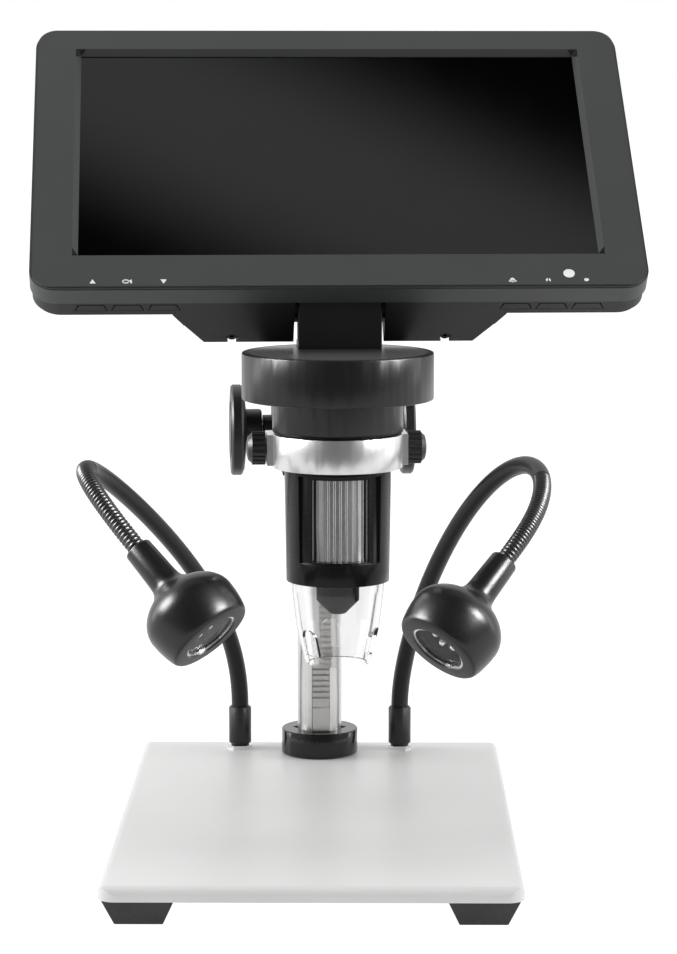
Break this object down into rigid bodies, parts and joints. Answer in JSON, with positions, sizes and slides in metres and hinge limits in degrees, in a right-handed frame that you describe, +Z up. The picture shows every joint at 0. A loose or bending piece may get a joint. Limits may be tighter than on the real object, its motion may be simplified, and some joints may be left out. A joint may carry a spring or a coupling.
{
  "type": "lcd digital microscope",
  "caption": "Desktop digital microscope: tilting screen on a drum head, held in a ring arm on a rack column, with gooseneck lamps on a flat footed base.",
  "frame": {"origin": "centre of the bounding box around the whole stand at rest, on the table under its feet", "axes": "+Z up; -Y towards the user, on the screen's side; +X to the user's right"},
  "size_m": [0.1892, 0.185, 0.2477],
  "materials": {
    "base_metal": "fine silver-grey satin paint",
    "bezel_plastic": "fine satin charcoal plastic",
    "black_metal": "black anodised aluminium",
    "black_plastic": "satin black moulded plastic",
    "black_steel": "black oxide screws",
    "board": "green circuit board",
    "brass": "cut brass",
    "bright_metal": "satin turned aluminium",
    "cell": "wrapped battery pack",
    "chrome": "polished chrome",
    "clear": "clear moulded polycarbonate",
    "display": "dark display glass, switched off",
    "gloss_black": "polished black plastic",
    "lens": "polished lens",
    "rubber": "moulded rubber",
    "steel": "bright drawn steel",
    "white_board": "white board with LED chips",
    "white_mark": "white translucent window"
  },
  "bodies": {
    "stand": {"base_plate": "base_metal", "feet": "rubber", "foot_screws": "black_steel", "collar": "black_metal", "socket_nut_left": "chrome", "socket_left": "black_plastic", "socket_nut_right": "chrome", "socket_right": "black_plastic"},
    "column": {"column": "bright_metal", "column_bolt": "steel", "rack": "steel", "column_cap": "black_plastic"},
    "carriage": {"carriage": "black_metal", "holder_ring": "bright_metal", "arm_screws": "black_steel"},
    "focus_drive": {"focus_shaft": "steel", "pinion": "brass", "knob_left": "black_plastic", "knob_right": "black_plastic"},
    "thumb_left": {"thumb_left": "black_plastic"},
    "thumb_right": {"thumb_right": "black_plastic"},
    "microscope": {"scope_body": "gloss_black", "head_drum": "black_plastic", "drum_cap": "black_plastic", "led_board": "white_board", "sensor_board": "board", "nose_cap": "clear", "neck": "black_plastic", "neck_screws": "black_steel"},
    "roller": {"focus_roller": "chrome"},
    "lens": {"lens_barrel": "black_plastic", "lens_glass": "lens"},
    "screen": {"hinge_pin": "steel", "hinge_washers": "steel", "front_bezel": "bezel_plastic", "screen_panel": "display", "main_board": "board", "battery": "cell", "back_shell": "black_plastic", "shell_screws": "black_steel", "ir_window": "white_mark"},
    "button_up": {"button_up": "black_plastic"},
    "button_back": {"button_back": "black_plastic"},
    "button_down": {"button_down": "black_plastic"},
    "button_photo": {"button_photo": "black_plastic"},
    "button_mode": {"button_mode": "black_plastic"},
    "button_power": {"button_power": "black_plastic"},
    "gooseneck_left": {"gooseneck_left": "rubber"},
    "lamp_head_left": {"lamp_left": "gloss_black", "lamp_ring_left": "chrome", "lamp_lens_left": "lens", "lamp_leds_left": "white_board"},
    "gooseneck_right": {"gooseneck_right": "rubber"},
    "lamp_head_right": {"lamp_right": "gloss_black", "lamp_ring_right": "chrome", "lamp_lens_right": "lens", "lamp_leds_right": "white_board"}
  },
  "joints": [
    {"name": "column_swivel", "type": "hinge", "parent": "stand", "child": "column", "pos_m": [-0.0046, 0.0762, 0.0117], "axis": [0, 0, 1], "range_deg": [-20, 12]},
    {"name": "focus_travel", "type": "slide", "parent": "column", "child": "carriage", "axis": [0, 0, 1], "range_m": [-0.026, 0.022]},
    {"name": "focus_knobs", "type": "hinge", "parent": "carriage", "child": "focus_drive", "pos_m": [-0.0037, 0.06452, 0.1205], "axis": [0.9971, 0.0767, 0], "range_deg": [-302, 356]},
    {"name": "clamp_screw_left", "type": "hinge", "parent": "carriage", "child": "thumb_left", "pos_m": [-0.02124, -0.00732, 0.1232], "axis": [0.9971, 0.0767, 0], "range_deg": [-180, 180]},
    {"name": "clamp_screw_right", "type": "hinge", "parent": "carriage", "child": "thumb_right", "pos_m": [0.02462, -0.00379, 0.1232], "axis": [0.9971, 0.0767, 0], "range_deg": [-180, 180]},
    {"name": "microscope_turn", "type": "hinge", "parent": "carriage", "child": "microscope", "pos_m": [0.00215, -0.01154, 0.1182], "axis": [0, 0, 1], "range_deg": [-15, 15]},
    {"name": "roller_turn", "type": "hinge", "parent": "microscope", "child": "roller", "pos_m": [0.00215, -0.01154, 0.0902], "axis": [0, 0, 1], "range_deg": [-150, 150]},
    {"name": "lens_travel", "type": "slide", "parent": "microscope", "child": "lens", "axis": [0, 0, 1], "range_m": [-0.003, 0.003]},
    {"name": "screen_tilt", "type": "hinge", "parent": "microscope", "child": "screen", "pos_m": [0.00254, 0.00221, 0.1646], "axis": [0.9978, 0.0663, 0], "range_deg": [-12, 46]},
    {"name": "press_up", "type": "slide", "parent": "screen", "child": "button_up", "axis": [-0.0489, 0.7368, 0.6743], "range_m": [0, 0.0004], "stiffness_N_per_m": 400, "springref_m": -0.0004},
    {"name": "press_back", "type": "slide", "parent": "screen", "child": "button_back", "axis": [-0.0489, 0.7368, 0.6743], "range_m": [0, 0.0004], "stiffness_N_per_m": 400, "springref_m": -0.0004},
    {"name": "press_down", "type": "slide", "parent": "screen", "child": "button_down", "axis": [-0.0489, 0.7368, 0.6743], "range_m": [0, 0.0004], "stiffness_N_per_m": 400, "springref_m": -0.0004},
    {"name": "press_photo", "type": "slide", "parent": "screen", "child": "button_photo", "axis": [-0.0489, 0.7368, 0.6743], "range_m": [0, 0.0004], "stiffness_N_per_m": 400, "springref_m": -0.0004},
    {"name": "press_mode", "type": "slide", "parent": "screen", "child": "button_mode", "axis": [-0.0489, 0.7368, 0.6743], "range_m": [0, 0.0004], "stiffness_N_per_m": 400, "springref_m": -0.0004},
    {"name": "press_power", "type": "slide", "parent": "screen", "child": "button_power", "axis": [-0.0489, 0.7368, 0.6743], "range_m": [0, 0.0004], "stiffness_N_per_m": 400, "springref_m": -0.0004},
    {"name": "lamp_swivel_left", "type": "hinge", "parent": "stand", "child": "gooseneck_left", "pos_m": [-0.0311, 0.0817, 0.0262], "axis": [0, 0, 1], "range_deg": [-40, 4]},
    {"name": "lamp_turn_left", "type": "hinge", "parent": "gooseneck_left", "child": "lamp_head_left", "pos_m": [-0.0563, -0.0321, 0.097], "axis": [0.6276, -0.3862, -0.6759], "range_deg": [-90, 90]},
    {"name": "lamp_swivel_right", "type": "hinge", "parent": "stand", "child": "gooseneck_right", "pos_m": [0.0219, 0.0817, 0.0262], "axis": [0, 0, 1], "range_deg": [-4, 40]},
    {"name": "lamp_turn_right", "type": "hinge", "parent": "gooseneck_right", "child": "lamp_head_right", "pos_m": [0.0513, -0.0284, 0.0929], "axis": [-0.5672, -0.4936, -0.6593], "range_deg": [-90, 90]}
  ],
  "couplings": [
    {"joint": "focus_knobs", "follows": "focus_travel", "rad_per_m": -238.1},
    {"joint": "roller_turn", "follows": "lens_travel", "rad_per_m": 872.66}
  ]
}
